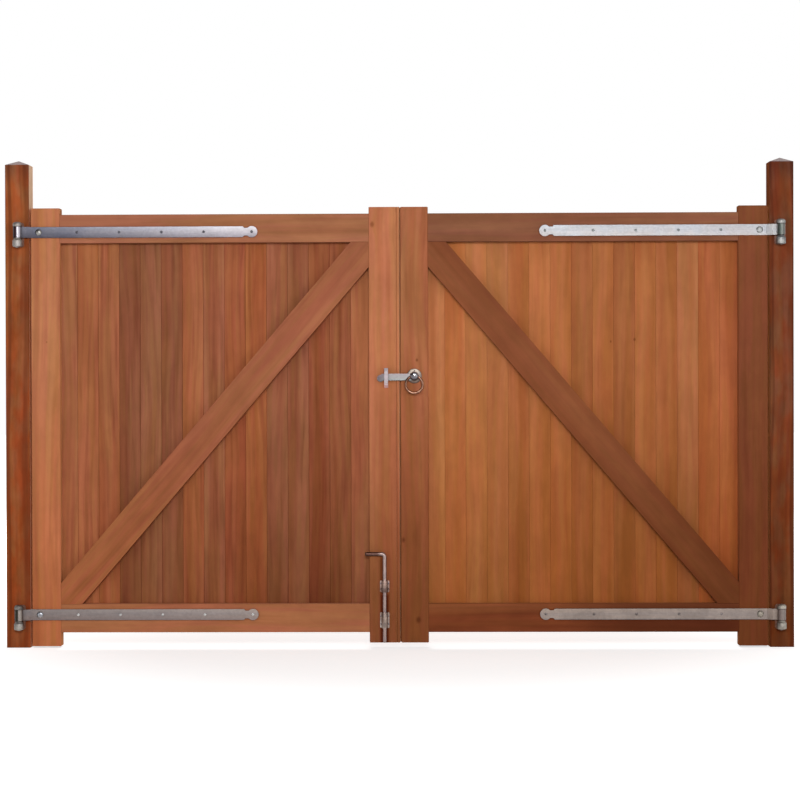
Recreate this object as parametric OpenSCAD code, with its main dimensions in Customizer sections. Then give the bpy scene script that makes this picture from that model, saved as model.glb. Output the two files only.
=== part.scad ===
// Pair of framed, braced and boarded timber gates between two posts.
// Frame: origin at the middle of the left post's foot, at ground level.
// +X runs across the opening to the right post, +Y to the boarded front, +Z up.

/* [View] */
// Sub-part to build

/* [Opening and posts] */
// Clear opening between the posts
clear_opening = 3064; // [2600:1:3600]
// Side of each square post
post_w = 100; // [90:1:150]
// Height of each post to the shoulder of its cap
post_h = 2005; // [1900:1:2400]
// Rise of the four-way weathered cap
cap_rise = 20; // [8:1:50]
// Chamfer along the arrises of the posts
post_arris = 5; // [2:0.5:12]

/* [Leaf frame] */
// Gap between a post and the hinge stile
hinge_gap = 8; // [5:0.5:15]
// Clearance between the two meeting stiles, each way
meeting_gap = 5; // [5:0.5:8]
// Width of the rebate of the meeting stiles, from seam to seam
meeting_lap = 18; // [14:0.5:24]
// Distance of the rebate's middle from the middle of the opening, towards the right leaf
meeting_shift = 15.5; // [0:0.5:18]
// Width of the bead along the seam
bead_w = 12; // [8:0.5:14]
// Width of the quirk beside the bead
quirk_w = 2; // [1:0.5:3]
// Gap between the ground and the hinge stile
ground_gap = 6; // [5:1:60]
// Length of the hinge stile
stile_len = 1818; // [1700:1:1880]
// How much shorter the meeting stile is at its foot
meeting_raise = 14; // [0:1:40]
// Width of a stile
stile_w = 120; // [100:1:140]
// Height of a rail
rail_h = 118; // [100:1:130]
// Width of the diagonal brace
brace_w = 124; // [90:1:160]
// Distance of the brace's middle line below the diagonal of the panel
brace_drop = 5; // [0:1:20]
// Thickness of the bottom rail and the brace, behind the boards
rail_t = 38; // [34:1:60]
// Height of the stile's horn above the top rail
top_horn = 27; // [10:1:60]
// Height of the bottom rail above the foot of the hinge stile
bottom_horn = 57; // [30:1:90]
// Chamfer along the arrises of stiles and rails
frame_arris = 2; // [1:0.5:5]
// Chamfer of the meeting stiles along the seam
seam_arris = 1; // [0.5:0.5:2]

/* [Joinery] */
// Thickness of the through tenons
tenon_t = 16; // [12:1:18]
// Distance from the near face of the frame to the tenon
tenon_set = 10; // [8:1:11]
// Shoulder above and below a tenon
tenon_shoulder = 12; // [6:1:20]
// Clearance round a tenon in its mortise
mortise_fit = 0.2; // [0.1:0.1:0.5]
// How far the boards are let into stiles and top rail
board_housing = 12; // [8:1:16]

/* [Boards] */
// Thickness of the boards
board_t = 20; // [16:1:25]
// Cover width of one board
board_pitch = 87.6; // [70:0.1:120]
// Cover width of the board beside the hinge stile, left leaf
left_first_cover = 66; // [40:1:86]
// Cover width of the board beside the hinge stile, right leaf
right_first_cover = 74; // [40:1:86]
// Thickness of the tongue
tongue_t = 6; // [4:0.5:8]
// Length of the tongue
tongue_l = 8; // [5:0.5:10]
// Depth of the V joint on each face
vee = 1.5; // [1:0.5:5]
// Clearance between neighbouring boards
board_fit = 0.4; // [0.2:0.1:0.8]
// Narrowest strip that is left for a last board
narrowest = 20; // [10:1:40]

/* [Strap hinges] */
// Distance of the upper strap's middle below the top rail's upper edge
strap_drop = 73.5; // [40:0.5:80]
// Distance of the lower strap's middle above the bottom rail's lower edge
strap_rise = 74.5; // [40:0.5:80]
// Reach of a strap from the pin to its tip
strap_len = 992; // [700:1:1200]
// Height of the strap
strap_h = 45; // [40:1:60]
// Thickness of the strap
strap_t = 7; // [5:0.5:9]
// Diameter of the round end
penny_d = 47; // [42:1:60]
// Width of the neck before the round end
neck_w = 32; // [16:1:36]
// Length of the neck at its narrowest
neck_l = 14; // [2:0.5:24]
// Length over which the strap tapers to the neck
neck_taper = 6; // [4:0.5:30]
// Length of the strap's flat between its knuckle and the crank
crank_flat = 14; // [8:1:20]
// Distance that the crank runs on past the hinge stile's edge
crank_over = 4; // [0:1:10]
// Distance from the pin to the coach bolt
coach_x = 84; // [75:1:120]
// Diameter of the coach bolt's hole
coach_d = 11; // [8:0.5:13]
// Distance from the pin to the first screw hole
screw_x = 243; // [180:1:300]
// Spacing of the screw holes
screw_pitch = 175.5; // [120:0.5:176]
// Diameter of a screw hole
screw_d = 7; // [5:0.5:9]
// Diameter of the hinge pin
pin_d = 19; // [14:1:22]
// Distance of the pin from the post's middle, towards the opening
pin_shift = 7; // [0:1:10]
// Distance of the pin in front of the post's face
pin_offset = 30; // [29:1:40]
// Running clearance of the knuckle on the pin
pin_fit = 0.4; // [0.1:0.1:0.8]
// Width of the hinge plate
plate_w = 46; // [44:1:60]
// Thickness of the hinge plate
plate_t = 6; // [4:0.5:8]
// Spacing of the two screw holes in a hinge plate
plate_screw_pitch = 28; // [20:1:36]
// Diameter of the lower cup
cup_d = 40; // [38:1:48]
// Diameter of the upper cup
cap_d = 37; // [36:1:46]
// Height of the lower cup
cup_h = 28; // [16:1:40]
// Height of the tapered seat over the lower cup
seat_h = 8; // [6:1:20]
// Height of the upper cup
cap_h = 16; // [8:1:24]
// Clearance between the knuckle and the cups
knuckle_gap = 2; // [1:0.5:5]

/* [Ring latch] */
// Distance of the spindle from the near edge of the right meeting stile
latch_inset = 56; // [52:1:80]
// Height of the spindle
latch_z = 1124; // [900:1:1400]
// Diameter of the spindle
spindle_d = 16; // [12:1:20]
// How far the spindle is let into each boss
spindle_seat = 4; // [2:0.5:6]
// Diameter of the roses
rose_d = 62; // [50:1:70]
// Thickness of the roses
rose_t = 4; // [2:0.5:6]
// Width of the collar round the spindle, between bar and rose
collar_w = 4; // [2:0.5:6]
// Diameter of the bosses that carry the rings
boss_d = 36; // [30:1:40]
// Length of the bosses
boss_l = 28; // [27:1:34]
// Radius of a boss's rounded end
boss_round = 12; // [8:0.5:13]
// Rise of the dome in the middle of a boss's end
boss_dome = 1; // [0.5:0.5:2]
// Mean diameter of the rings
ring_d = 70; // [64:1:100]
// Thickness of the ring's wire
ring_t = 10; // [7:0.5:10]
// Running clearance of spindle and rings
latch_fit = 0.5; // [0.2:0.1:0.8]
// Reach of the latch bar from the spindle to its tip
bar_reach = 154; // [140:1:200]
// Height of the latch bar
bar_h = 28; // [24:1:36]
// Thickness of the latch bar
bar_t = 6; // [4:0.5:8]
// How far the bar's middle lies below the spindle
bar_drop = 4; // [0:1:8]
// How far the bar's round tip hangs below its middle
tip_drop = 5; // [0:1:8]
// Clearance of the bar's hole on the spindle
bar_fit = 0.1; // [0.1:0.1:0.4]
// Clearance of the bar in its keep, and before the rose
bar_gap = 5; // [5:0.5:8]
// Distance of the keep from the near edge of the left meeting stile
keep_inset = 55; // [30:1:60]
// Width of the keep
keep_w = 16; // [14:1:30]
// Thickness of the keep's plate and nose
keep_t = 5; // [3:0.5:6]
// Height of the nose above the top of the bar
keep_rise = 23; // [10:1:30]
// Length of the keep's foot below its ledge
keep_foot = 26; // [16:1:40]
// Bevel at the top of the keep's plate
keep_bevel = 1; // [0.5:0.5:2]
// Distance that the nose leans out at its tip
nose_lean = 3; // [1:0.5:4]
// Height of the leaning part of the nose on its inner face
nose_inner = 10; // [6:1:14]
// Height of the leaning part of the nose on its outer face
nose_outer = 12; // [7:1:16]
// Thickness of the keep's ledge at the nose's outer face
ledge_t = 6; // [4:1:10]
// Depth of the corner in the ledge's sloped underside
ledge_deep = 14; // [12:1:18]
// Distance of that corner from the nose's outer face
ledge_in = 4; // [2:1:6]
// Diameter of the screw hole in the keep
keep_screw_d = 4.5; // [3:0.5:6]

/* [Drop bolt] */
// Distance of the bolt from the near edge of the left meeting stile
bolt_inset = 64; // [40:1:75]
// Diameter of the bolt
bolt_d = 16; // [12:1:20]
// Height of the bolt's tip when it is raised
bolt_tip_z = 21; // [20:1:60]
// Height of the cranked handle when the bolt is raised
crank_z = 388; // [340:1:420]
// Length of the cranked handle
crank_l = 81; // [60:1:110]
// Radius of the bend, at the middle of the bar
crank_r = 12; // [9:1:26]
// Running clearance of the bolt in its staples
bolt_fit = 0.5; // [0.2:0.1:0.8]
// Thickness of the staples
staple_t = 4; // [3:0.5:6]
// Width of the staples over their ears
staple_w = 39; // [37:1:50]
// Radius of the ears' corners
ear_r = 5; // [2:0.5:8]
// Height of the upper staple
upper_staple_h = 48; // [30:1:60]
// Middle of the upper staple
upper_staple_z = 254; // [230:1:260]
// Height of the lower staple
lower_staple_h = 65; // [40:1:80]
// Middle of the lower staple
lower_staple_z = 114; // [90:1:130]

/* [Hidden] */
$fn = 48;

left_post_tone = [0.54, 0.31, 0.18];
right_post_tone = [0.43, 0.24, 0.15];
frame_tone = [0.69, 0.43, 0.30];
dark_frame_tone = [0.50, 0.29, 0.18];
board_tone = [0.60, 0.36, 0.24];
zinc = [0.62, 0.62, 0.64];

cut = 1;

// Positions across the opening
post_pitch = clear_opening + post_w;
leaf_x = post_w / 2 + hinge_gap;
leaf_w = clear_opening / 2 - hinge_gap - meeting_gap / 2;
left_near_edge = leaf_w + meeting_shift - meeting_lap / 2;
left_far_edge = leaf_w + meeting_shift + meeting_lap / 2;
right_near_edge = leaf_w - meeting_shift + meeting_lap / 2;
right_far_edge = leaf_w - meeting_shift - meeting_lap / 2;
panel_0 = stile_w;
panel_1 = leaf_w - stile_w;

// Positions through the thickness: the frame is flush with the posts' near face
near = -post_w / 2;
back = near + rail_t;
far = back + board_t;
stile_t = rail_t + board_t;
lip_0 = near + stile_t / 2 - meeting_gap / 2;
lip_1 = near + stile_t / 2 + meeting_gap / 2;
tenon_y = near + tenon_set;

// Heights
stile_top = ground_gap + stile_len;
top_rail_z1 = stile_top - top_horn;
top_rail_z0 = top_rail_z1 - rail_h;
low_rail_z0 = ground_gap + bottom_horn;
low_rail_z1 = low_rail_z0 + rail_h;
board_z1 = top_rail_z0 + board_housing;

// Hinges
strap_top_z = top_rail_z1 - strap_drop;
strap_low_z = low_rail_z0 + strap_rise;
pin_y = near - pin_offset;
eye_in = pin_d / 2 + pin_fit;
eye_out = eye_in + strap_t;
crank_x0 = pin_shift + eye_out + crank_flat;
crank_x1 = leaf_x + crank_over;
tip_x1 = pin_shift + strap_len;
penny_x = tip_x1 - penny_d / 2;
neck_x = penny_x - sqrt(pow(penny_d / 2, 2) - pow(neck_w / 2, 2)) - neck_l;

// Latch, in the frame of the part
latch_x = post_pitch - leaf_x - right_near_edge + latch_inset;
keep_x = leaf_x + left_near_edge - keep_inset;
bar_y1 = near - rose_t - bar_gap;
bar_y0 = bar_y1 - bar_t;
ring_r = ring_d / 2;
near_ring_y = bar_y0 - boss_l / 2;
far_ring_y = far + rose_t + boss_l / 2 + latch_fit;
bar_z = latch_z - bar_drop;
tip_x = latch_x - bar_reach + bar_h / 2;
keep_y0 = bar_y0 - bar_gap - keep_t;
keep_top = bar_z + bar_h / 2 + keep_rise;
keep_ledge = bar_z - bar_h / 2 - bar_gap;

// Drop bolt
bolt_x = leaf_x + left_near_edge - bolt_inset;
bow_r = bolt_d / 2 + bolt_fit + staple_t;
bolt_y = near - bow_r;

// Extrudes a shape drawn in X and Z through the thickness, from y0 to y1
module through(y0, y1) {
    translate([0, y1, 0])
        rotate([90, 0, 0])
            linear_extrude(height = y1 - y0)
                children();
}

// Extrudes a shape drawn in Y and Z along X, from x0 to x1
module along(x0, x1) {
    translate([x0, 0, 0])
        rotate([90, 0, 90])
            linear_extrude(height = x1 - x0)
                children();
}

// Extrudes a plan shape up, from z0 to z1
module upright(z0, z1) {
    translate([0, 0, z0])
        linear_extrude(height = z1 - z0)
            children();
}

// Rectangle with chamfered corners, by its two corners
module eased(x0, y0, x1, y1, c) {
    polygon([[x0 + c, y0], [x1 - c, y0], [x1, y0 + c], [x1, y1 - c],
        [x1 - c, y1], [x0 + c, y1], [x0, y1 - c], [x0, y0 + c]]);
}

// Box by its two corners
module block(p, q) {
    translate(p)
        cube([q[0] - p[0], q[1] - p[1], q[2] - p[2]]);
}

// Moves a left-hand shape to the right-hand side of the opening
module right_hand() {
    translate([post_pitch, 0, 0])
        mirror([1, 0, 0])
            children();
}

// Square post with a four-way weathered top
module post() {
    h = post_w / 2;
    top = post_h + cap_rise;
    intersection() {
        upright(0, top)
            eased(-h, -h, h, h, post_arris);
        through(-h, h)
            polygon([[-h, 0], [h, 0], [h, post_h], [0, top], [-h, post_h]]);
        along(-h, h)
            polygon([[-h, 0], [h, 0], [h, post_h], [0, top], [-h, post_h]]);
    }
}

// Plate on the post with an upper and a lower cup for the pin, at the strap's height
module hinge_plate(z) {
    low = z - strap_h / 2 - knuckle_gap - seat_h;
    high = z + strap_h / 2 + knuckle_gap;
    difference() {
        union() {
            through(near - plate_t, near)
                eased(pin_shift - plate_w / 2, low - cup_h, pin_shift + plate_w / 2, high + cap_h, 6);
            translate([pin_shift, pin_y, low - cup_h])
                rotate_extrude()
                    polygon([[0, 0], [cup_d / 2 - 3, 0], [cup_d / 2, 3],
                        [cup_d / 2, cup_h - 2], [cup_d / 2 - 2, cup_h],
                        [eye_out - 1, cup_h + 2], [eye_out - 4, cup_h + seat_h], [0, cup_h + seat_h]]);
            translate([pin_shift, pin_y, high])
                rotate_extrude()
                    polygon([[0, 0], [cap_d / 2, 0], [cap_d / 2, cap_h - 6], [cap_d / 2 - 2, cap_h - 2],
                        [cap_d / 2 - 6, cap_h + 1], [0, cap_h + 3]]);
            block([pin_shift - cap_d / 2 + 2, pin_y, low - cup_h + 3],
                [pin_shift + cap_d / 2 - 2, near, low - 2]);
            block([pin_shift - cap_d / 2 + 4, pin_y, high],
                [pin_shift + cap_d / 2 - 4, near, high + cap_h - 6]);
        }
        translate([pin_shift, pin_y, low - cup_h - cut])
            cylinder(r = pin_d / 2 + 0.1, h = high - low + cup_h + cap_h - 4 + cut);
        for (dz = [-plate_screw_pitch / 2, plate_screw_pitch / 2])
            screw_hole(pin_shift, z + dz, screw_d, plate_t);
    }
}

// Pin through both cups
module hinge_pin(z) {
    low = z - strap_h / 2 - knuckle_gap - seat_h - cup_h;
    high = z + strap_h / 2 + knuckle_gap + cap_h - 5;
    translate([pin_shift, pin_y, low - 3])
        rotate_extrude()
            polygon([[0, 0], [pin_d / 2 - 2, 0], [pin_d / 2, 2],
                [pin_d / 2, high - low + 3], [0, high - low + 3]]);
}

// Hole of the coach bolt that goes through strap, stile and tenon, between two depths
module coach_hole(z, y0, y1) {
    translate([pin_shift + coach_x, y1, z])
        rotate([90, 0, 0])
            cylinder(d = coach_d, h = y1 - y0);
}

// Hole of a screw through a metal plate that lies against the near face
module screw_hole(x, z, d, t) {
    translate([x, near + cut, z])
        rotate([90, 0, 0])
            cylinder(d = d, h = t + 2 * cut);
}

// Cranked strap with a rolled knuckle, a neck and a round end
module strap(z) {
    difference() {
        intersection() {
            upright(z - max(strap_h, penny_d) / 2, z + max(strap_h, penny_d) / 2)
                union() {
                    translate([pin_shift, pin_y])
                        circle(r = eye_out);
                    polygon([[pin_shift, pin_y + eye_in], [crank_x0 + 2, pin_y + eye_in],
                        [crank_x1 + 2, near - strap_t], [tip_x1, near - strap_t], [tip_x1, near], [crank_x1, near],
                        [crank_x0, pin_y + eye_out], [pin_shift, pin_y + eye_out]]);
                }
            through(pin_y - eye_out - cut, near + cut)
                union() {
                    polygon([[pin_shift - eye_out - cut, z - strap_h / 2],
                        [neck_x - neck_taper, z - strap_h / 2],
                        [neck_x, z - neck_w / 2], [penny_x, z - neck_w / 2],
                        [penny_x, z + neck_w / 2], [neck_x, z + neck_w / 2],
                        [neck_x - neck_taper, z + strap_h / 2], [pin_shift - eye_out - cut, z + strap_h / 2]]);
                    translate([penny_x, z])
                        circle(r = penny_d / 2);
                }
        }
        translate([pin_shift, pin_y, z - strap_h / 2 - cut])
            cylinder(r = eye_in, h = strap_h + 2 * cut);
        coach_hole(z, near - strap_t - cut, near + cut);
        for (i = [0 : 3])
            screw_hole(pin_shift + screw_x + i * screw_pitch, z, screw_d, strap_t);
        screw_hole(penny_x, z, screw_d, strap_t);
    }
}

// Mortises for both rails and the rebate for the boards, between two edges of a stile
module stile_cuts(x0, x1, rebate_0, rebate_1) {
    f = mortise_fit;
    y0 = tenon_y - f;
    y1 = tenon_y + tenon_t + f;
    for (z = [low_rail_z0, top_rail_z0])
        block([x0, y0, z + tenon_shoulder - f], [x1, y1, z + rail_h - tenon_shoulder + f]);
    block([rebate_0, back, low_rail_z0], [rebate_1, far + cut, board_z1]);
}

// Outer stile, which carries the hinges
module hinge_stile() {
    difference() {
        intersection() {
            upright(ground_gap, stile_top)
                eased(leaf_x, near, leaf_x + stile_w, far, frame_arris);
            through(near, far)
                eased(leaf_x, ground_gap, leaf_x + stile_w, stile_top, frame_arris);
        }
        stile_cuts(leaf_x - cut, leaf_x + stile_w + cut,
            leaf_x + stile_w - board_housing, leaf_x + stile_w + cut);
        coach_hole(strap_top_z, near - cut, far + cut);
        coach_hole(strap_low_z, near - cut, far + cut);
    }
}

// Bead and quirk that are worked on the near corner of a lapping edge at xn
module bead_cut(xn) {
    r = bead_w / 2;
    difference() {
        translate([xn - bead_w - quirk_w, near - cut])
            square([bead_w + quirk_w + cut, r + cut]);
        translate([xn - r, near + r])
            circle(r = r);
        translate([xn - bead_w, near + r / 2])
            square([r, r]);
    }
}

// Inner stile, whose edge is rebated to lap the other leaf's; the left one has a bead along the seam
module meeting_stile(near_edge, far_edge, step_y) {
    c = frame_arris;
    e = seam_arris;
    x0 = leaf_x + panel_1;
    xn = leaf_x + near_edge;
    xf = leaf_x + far_edge;
    xo = max(xn, xf);
    z0 = ground_gap + meeting_raise;
    difference() {
        intersection() {
            upright(z0, stile_top)
                difference() {
                    polygon([[x0 + c, near], [xn - e, near], [xn, near + e], [xn, step_y], [xf, step_y],
                        [xf, far - e], [xf - e, far], [x0 + c, far], [x0, far - c], [x0, near + c]]);
                    if (near_edge < far_edge)
                        bead_cut(xn);
                }
            through(near, far)
                eased(x0, z0, xo, stile_top, c);
        }
        stile_cuts(x0 - cut, xo + cut, x0 - cut, x0 + board_housing);
    }
}

// Rail with through tenons
module rail(z0, y1, end) {
    c = frame_arris;
    t0 = z0 + tenon_shoulder;
    t1 = z0 + rail_h - tenon_shoulder;
    block([leaf_x, tenon_y, t0], [leaf_x + panel_0 + cut, tenon_y + tenon_t, t1]);
    block([leaf_x + panel_1 - cut, tenon_y, t0], [leaf_x + end, tenon_y + tenon_t, t1]);
    along(leaf_x + panel_0, leaf_x + panel_1)
        eased(near, z0, y1, z0 + rail_h, c);
}

// Top rail, as thick as the stiles and rebated for the boards' upper ends
module top_rail(end) {
    difference() {
        rail(top_rail_z0, far, end);
        block([leaf_x + panel_0 - cut, back, top_rail_z0 - cut], [leaf_x + panel_1 + cut, far + cut, board_z1]);
        coach_hole(strap_top_z, near, far);
    }
}

// Bottom rail, which the boards run over
module bottom_rail(end) {
    difference() {
        rail(low_rail_z0, back, end);
        coach_hole(strap_low_z, near, far);
    }
}

// Diagonal brace from the foot of the hinge stile to the head of the meeting stile
module brace() {
    w = panel_1 - panel_0;
    h = top_rail_z0 - low_rail_z1;
    through(near, back)
        intersection() {
            translate([leaf_x + panel_0, low_rail_z1])
                square([w, h]);
            translate([leaf_x + panel_0 + w / 2, low_rail_z1 + h / 2])
                rotate(atan2(h, w))
                    translate([0, -brace_drop])
                        square([2 * w, brace_w], center = true);
        }
}

// One tongued, grooved and V-jointed board between two joint lines
module board(x0, x1, grooved, tongued) {
    yc = (back + far) / 2;
    t = tongue_t / 2;
    g = t + board_fit;
    d = tongue_l + board_fit;
    v0 = grooved ? vee : 0;
    v1 = tongued ? vee : 0;
    start = grooved ? [[x0, yc - g], [x0 + d, yc - g], [x0 + d, yc + g], [x0, yc + g]] : [];
    xt = x1 + tongue_l;
    tail = tongued ? [[x1, yc + t], [xt, yc + t - 1], [xt, yc - t + 1], [x1, yc - t]] : [];
    polygon(concat([[x0 + v0, back], [x0, back + v0]], start, [[x0, far - v0], [x0 + v0, far]],
        [[x1 - v1, far], [x1, far - v1]], tail, [[x1, back + v1], [x1 - v1, back]]));
}

// All the boards of a leaf, side by side
module boards(first_cover) {
    p0 = leaf_x + panel_0;
    p1 = leaf_x + panel_1;
    n = ceil((p1 - p0 - first_cover - narrowest) / board_pitch);
    f = board_fit;
    upright(low_rail_z0, board_z1 - f)
        for (i = [0 : n])
            let (
                x0 = i == 0 ? p0 - board_housing + f : p0 + first_cover + (i - 1) * board_pitch + f / 2,
                x1 = i == n ? p1 + board_housing - f : p0 + first_cover + i * board_pitch - f / 2
            )
                board(x0, x1, i > 0, i < n);
}

// Hooked keep that the latch bar drops into
module keep() {
    t = keep_t;
    x0 = keep_x - keep_w / 2;
    lo = keep_ledge - keep_foot;
    difference() {
        along(x0, x0 + keep_w)
            polygon([[near, lo], [near, keep_top], [near - t + keep_bevel, keep_top],
                [near - t, keep_top - keep_bevel], [near - t, keep_ledge], [keep_y0 + t, keep_ledge],
                [keep_y0 + t, keep_top - nose_inner], [keep_y0 + t - nose_lean, keep_top],
                [keep_y0 - nose_lean, keep_top], [keep_y0, keep_top - nose_outer],
                [keep_y0, keep_ledge - ledge_t], [keep_y0 + ledge_in, keep_ledge - ledge_deep],
                [near - t, lo]]);
        screw_hole(keep_x, (keep_ledge + keep_top) / 2, keep_screw_d, keep_t);
    }
}

// Round rose with a sloped edge, standing out from a face towards -Y
module rose() {
    rotate([90, 0, 0])
        rotate_extrude()
            polygon([[spindle_d / 2 + latch_fit, 0], [rose_d / 2, 0], [rose_d / 2, 1],
                [rose_d / 2 - 2, rose_t - 1], [rose_d / 2 - 7, rose_t], [spindle_d / 2 + latch_fit, rose_t]]);
}

// Radius of the cross hole at a distance u from its middle: it follows the inner side of the ring's curve
function mouth(u) = latch_fit + ring_r - sqrt(pow(ring_r - ring_t / 2, 2) - u * u);

// Domed boss with a bell-mouthed cross hole for the ring, standing out towards -Y
module boss() {
    r = boss_d / 2;
    e = boss_round;
    k = 6;
    m = r + 2;
    difference() {
        rotate([90, 0, 0])
            rotate_extrude()
                polygon(concat([[0, 0], [r, 0], [r, boss_l - e]],
                    [for (a = [15 : 15 : 75]) [r - e + e * cos(a), boss_l - e + e * sin(a)]],
                    [[r - e, boss_l], [0, boss_l + boss_dome]]));
        translate([0, -boss_l / 2, 0])
            rotate([0, 90, 0])
                rotate_extrude()
                    polygon(concat([[0, -m]],
                        [for (i = [-k : k]) if (i != 0) [mouth(i * m / k), i * m / k]],
                        [[0, m]]));
    }
}

// Spindle through the stile with a boss at each end
module spindle() {
    translate([latch_x, bar_y0, latch_z])
        boss();
    translate([latch_x, far + rose_t + latch_fit, latch_z])
        mirror([0, 1, 0])
            boss();
    translate([latch_x, bar_y0 - spindle_seat, latch_z])
        rotate([-90, 0, 0])
            cylinder(d = spindle_d, h = far + rose_t + latch_fit - bar_y0 + 2 * spindle_seat);
    translate([latch_x, bar_y1, latch_z])
        rotate([-90, 0, 0])
            cylinder(d = spindle_d + 2 * collar_w, h = bar_gap - latch_fit);
}

// Flat bar that turns with the spindle and lies in the keep
module bar() {
    difference() {
        through(bar_y0, bar_y1)
            union() {
                translate([latch_x, latch_z])
                    circle(d = bar_h + 2 * bar_drop);
                polygon([[latch_x, bar_z - bar_h / 2], [latch_x, bar_z + bar_h / 2],
                    [keep_x - keep_w, bar_z + bar_h / 2], [tip_x, bar_z - tip_drop + bar_h / 2],
                    [tip_x, bar_z - tip_drop - bar_h / 2], [keep_x - keep_w, bar_z - bar_h / 2]]);
                translate([tip_x, bar_z - tip_drop])
                    circle(d = bar_h);
            }
        translate([latch_x, bar_y1 + cut, latch_z])
            rotate([90, 0, 0])
                cylinder(r = spindle_d / 2 + bar_fit, h = bar_t + 2 * cut);
    }
}

// Ring that hangs from a boss, at the depth of the boss's cross hole
module ring(y) {
    translate([latch_x, y, latch_z - ring_r])
        rotate([90, 0, 0])
            rotate_extrude()
                translate([ring_r, 0])
                    circle(d = ring_t);
}

// Staple with two ears that holds the bolt to the stile
module staple(z, h) {
    r = bolt_d / 2 + bolt_fit;
    intersection() {
        upright(z - h / 2, z + h / 2)
            difference() {
                union() {
                    translate([bolt_x, bolt_y])
                        circle(r = bow_r);
                    translate([bolt_x - bow_r, bolt_y])
                        square([2 * bow_r, near - bolt_y]);
                    translate([bolt_x - staple_w / 2, near - staple_t])
                        square([staple_w, staple_t]);
                }
                translate([bolt_x, bolt_y])
                    circle(r = r);
                translate([bolt_x - r, bolt_y])
                    square([2 * r, near - bolt_y + cut]);
            }
        through(bolt_y - bow_r - cut, near + cut)
            union() {
                for (i = [-1, 1], j = [-1, 1])
                    translate([bolt_x + i * (staple_w / 2 - ear_r), z + j * (h / 2 - ear_r)])
                        circle(r = ear_r);
                translate([bolt_x - staple_w / 2 + ear_r, z - h / 2])
                    square([staple_w - 2 * ear_r, h]);
                translate([bolt_x - staple_w / 2, z - h / 2 + ear_r])
                    square([staple_w, h - 2 * ear_r]);
            }
    }
}

// Round bolt with a tapered point and a cranked handle
module bolt() {
    r = bolt_d / 2;
    shank = crank_z - crank_r - bolt_tip_z;
    handle = crank_l - crank_r;
    translate([bolt_x, bolt_y, bolt_tip_z])
        rotate_extrude()
            polygon([[0, 0], [r - 4, 0], [r, 9], [r, shank], [0, shank]]);
    translate([bolt_x - crank_r, bolt_y, crank_z - crank_r])
        rotate([90, 0, 0])
            rotate_extrude(angle = 90)
                translate([crank_r, 0])
                    circle(r = r);
    translate([bolt_x - crank_r, bolt_y, crank_z])
        rotate([0, -90, 0])
            rotate_extrude()
                polygon([[0, 0], [r, 0], [r, handle - 3], [r - 3, handle], [0, handle]]);
}

module left_post() color(left_post_tone) post();
module right_post() color(right_post_tone) translate([post_pitch, 0, 0]) post();
module left_top_hinge_plate() color(zinc) hinge_plate(strap_top_z);
module left_bottom_hinge_plate() color(zinc) hinge_plate(strap_low_z);
module right_top_hinge_plate() color(zinc) right_hand() hinge_plate(strap_top_z);
module right_bottom_hinge_plate() color(zinc) right_hand() hinge_plate(strap_low_z);
module left_top_hinge_pin() color(zinc) hinge_pin(strap_top_z);
module left_bottom_hinge_pin() color(zinc) hinge_pin(strap_low_z);
module right_top_hinge_pin() color(zinc) right_hand() hinge_pin(strap_top_z);
module right_bottom_hinge_pin() color(zinc) right_hand() hinge_pin(strap_low_z);
module left_hinge_stile() color(frame_tone) hinge_stile();
module right_hinge_stile() color(dark_frame_tone) right_hand() hinge_stile();
module left_meeting_stile() color(frame_tone) meeting_stile(left_near_edge, left_far_edge, lip_1);
module right_meeting_stile() {
    color(dark_frame_tone)
        difference() {
            right_hand()
                meeting_stile(right_near_edge, right_far_edge, lip_0);
            translate([latch_x, near - cut, latch_z])
                rotate([-90, 0, 0])
                    cylinder(r = spindle_d / 2 + latch_fit, h = stile_t + 2 * cut);
        }
}
module left_top_rail() color(frame_tone) top_rail(left_near_edge);
module right_top_rail() color(dark_frame_tone) right_hand() top_rail(right_near_edge);
module left_bottom_rail() color(frame_tone) bottom_rail(left_near_edge);
module right_bottom_rail() color(dark_frame_tone) right_hand() bottom_rail(right_near_edge);
module left_brace() color(frame_tone) brace();
module right_brace() color(dark_frame_tone) right_hand() brace();
module left_boards() color(board_tone) boards(left_first_cover);
module right_boards() color(board_tone) right_hand() boards(right_first_cover);
module left_top_strap() color(zinc) strap(strap_top_z);
module left_bottom_strap() color(zinc) strap(strap_low_z);
module right_top_strap() color(zinc) right_hand() strap(strap_top_z);
module right_bottom_strap() color(zinc) right_hand() strap(strap_low_z);
module latch_keep() color(zinc) keep();
module upper_bolt_staple() color(zinc) staple(upper_staple_z, upper_staple_h);
module lower_bolt_staple() color(zinc) staple(lower_staple_z, lower_staple_h);
module drop_bolt() color(zinc) bolt();
module inner_rose() color(zinc) translate([latch_x, near, latch_z]) rose();
module outer_rose() color(zinc) translate([latch_x, far, latch_z]) mirror([0, 1, 0]) rose();
module latch_bar() color(zinc) bar();
module latch_spindle() color(zinc) spindle();
module inner_ring() color(zinc) ring(near_ring_y);
module outer_ring() color(zinc) ring(far_ring_y);

left_post();
right_post();
left_top_hinge_plate();
left_bottom_hinge_plate();
right_top_hinge_plate();
right_bottom_hinge_plate();
left_top_hinge_pin();
left_bottom_hinge_pin();
right_top_hinge_pin();
right_bottom_hinge_pin();
left_hinge_stile();
left_meeting_stile();
left_top_rail();
left_bottom_rail();
left_brace();
left_boards();
left_top_strap();
left_bottom_strap();
right_hinge_stile();
right_meeting_stile();
right_top_rail();
right_bottom_rail();
right_brace();
right_boards();
right_top_strap();
right_bottom_strap();
latch_keep();
upper_bolt_staple();
lower_bolt_staple();
drop_bolt();
inner_rose();
outer_rose();
latch_bar();
latch_spindle();
inner_ring();
outer_ring();
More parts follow.
